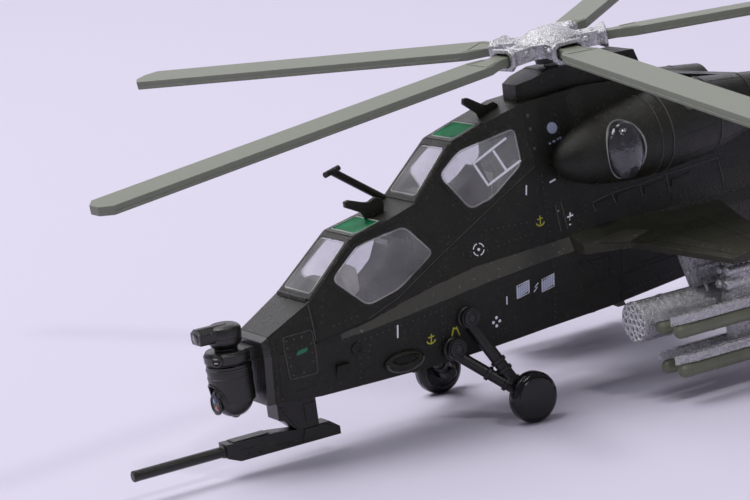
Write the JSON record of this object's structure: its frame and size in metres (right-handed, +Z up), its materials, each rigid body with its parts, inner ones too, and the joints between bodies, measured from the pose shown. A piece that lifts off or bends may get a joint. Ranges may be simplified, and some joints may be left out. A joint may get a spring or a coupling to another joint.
{
  "type": "helicopter scale model",
  "caption": "Small-scale display model of a tandem-seat attack helicopter with a turning rotor, rolling wheels, swivelling chin gun and sensor ball, stub wings and stores.",
  "frame": {"origin": "on the ground plane that the wheels stand on, on the centre plane, under the middle of the main rotor hub", "axes": "+Z up, nose towards -Y, port side towards +X"},
  "size_m": [0.1707, 0.2167, 0.062],
  "materials": {
    "body_paint": "semi-gloss dark green black paint",
    "clear_panes": "clear polished plastic",
    "green_panes": "clear plastic with a green tint",
    "cockpit_plastic": "grey moulded plastic",
    "blade_paint": "matt olive grey",
    "silver_paint": "coarse metallic silver paint",
    "grille_silver": "dark silver, glossy",
    "burnt_metal": "dark burnt metal paint",
    "missile_olive": "satin olive paint",
    "tyre_black": "gloss black",
    "gear_black": "semi-gloss black",
    "gun_black": "satin black",
    "sensor_black": "satin black",
    "steel": "plated steel"
  },
  "bodies": {
    "airframe": {"air_data_boom": "body_paint", "canopy_frame": "body_paint", "cockpit_tub": "cockpit_plastic", "engine_housing_left": "body_paint", "engine_housing_right": "body_paint", "engine_intake_left": "grille_silver", "engine_intake_right": "grille_silver", "exhaust_left": "burnt_metal", "exhaust_right": "burnt_metal", "front_roof_pane": "green_panes", "front_side_windows": "clear_panes", "front_windscreen": "clear_panes", "fuselage_lower": "body_paint", "fuselage_screws": "steel", "fuselage_upper": "body_paint", "inner_pylon_left": "silver_paint", "inner_pylon_right": "silver_paint", "instrument_panels": "cockpit_plastic", "main_leg_left": "gear_black", "main_leg_right": "gear_black", "mast_fairing": "body_paint", "missile_rack_left": "silver_paint", "missile_rack_right": "silver_paint", "missiles_left": "missile_olive", "missiles_right": "missile_olive", "nose_cap": "body_paint", "rear_roof_pane": "green_panes", "rear_side_windows": "clear_panes", "rear_windscreen": "clear_panes", "rocket_pod_left": "silver_paint", "rocket_pod_right": "silver_paint", "seats": "cockpit_plastic", "sensor_bracket": "sensor_black", "stabilizers": "body_paint", "stub_wing_left": "body_paint", "stub_wing_right": "body_paint", "tail_axle": "steel", "tail_boom": "body_paint", "tail_fin": "body_paint", "tail_leg": "gear_black", "tail_rotor_pin": "steel", "upper_sensor": "sensor_black", "wire_cutters": "body_paint"},
    "main_rotor": {"rotor_shaft": "steel", "rotor_hub": "silver_paint", "hub_dome": "silver_paint", "rotor_blade_1": "blade_paint", "rotor_blade_2": "blade_paint", "rotor_blade_3": "blade_paint", "rotor_blade_4": "blade_paint", "rotor_blade_5": "blade_paint"},
    "tail_rotor": {"tail_rotor": "blade_paint"},
    "left_wheel": {"main_wheel_left": "tyre_black"},
    "right_wheel": {"main_wheel_right": "tyre_black"},
    "tail_wheel": {"tail_wheel": "tyre_black"},
    "gun_turret": {"gun_mount": "gun_black", "gun_body": "gun_black", "gun_barrel": "gun_black"},
    "sensor_turret": {"turret_cup": "sensor_black", "turret_ball": "sensor_black"}
  },
  "joints": [
    {"name": "main_rotor_spin", "type": "hinge", "parent": "airframe", "child": "main_rotor", "pos_m": [0, 0, 0.0573], "axis": [0, -0.0698, 0.9976], "continuous": true},
    {"name": "tail_rotor_spin", "type": "hinge", "parent": "airframe", "child": "tail_rotor", "pos_m": [-0.0036, 0.109, 0.0435], "axis": [1, 0, 0], "continuous": true},
    {"name": "left_wheel_roll", "type": "hinge", "parent": "airframe", "child": "left_wheel", "pos_m": [0.0153, -0.0204, 0.0042], "axis": [1, 0, 0], "continuous": true},
    {"name": "right_wheel_roll", "type": "hinge", "parent": "airframe", "child": "right_wheel", "pos_m": [-0.0153, -0.0204, 0.0042], "axis": [1, 0, 0], "continuous": true},
    {"name": "tail_wheel_roll", "type": "hinge", "parent": "airframe", "child": "tail_wheel", "pos_m": [0, 0.101, 0.0026], "axis": [1, 0, 0], "continuous": true},
    {"name": "gun_traverse", "type": "hinge", "parent": "airframe", "child": "gun_turret", "pos_m": [0, -0.0562, 0.0105], "axis": [0, 0, 1], "range_deg": [-110, 110]},
    {"name": "sensor_traverse", "type": "hinge", "parent": "airframe", "child": "sensor_turret", "pos_m": [0, -0.0661, 0.0187], "axis": [0, 0, 1], "range_deg": [-110, 110]}
  ]
}
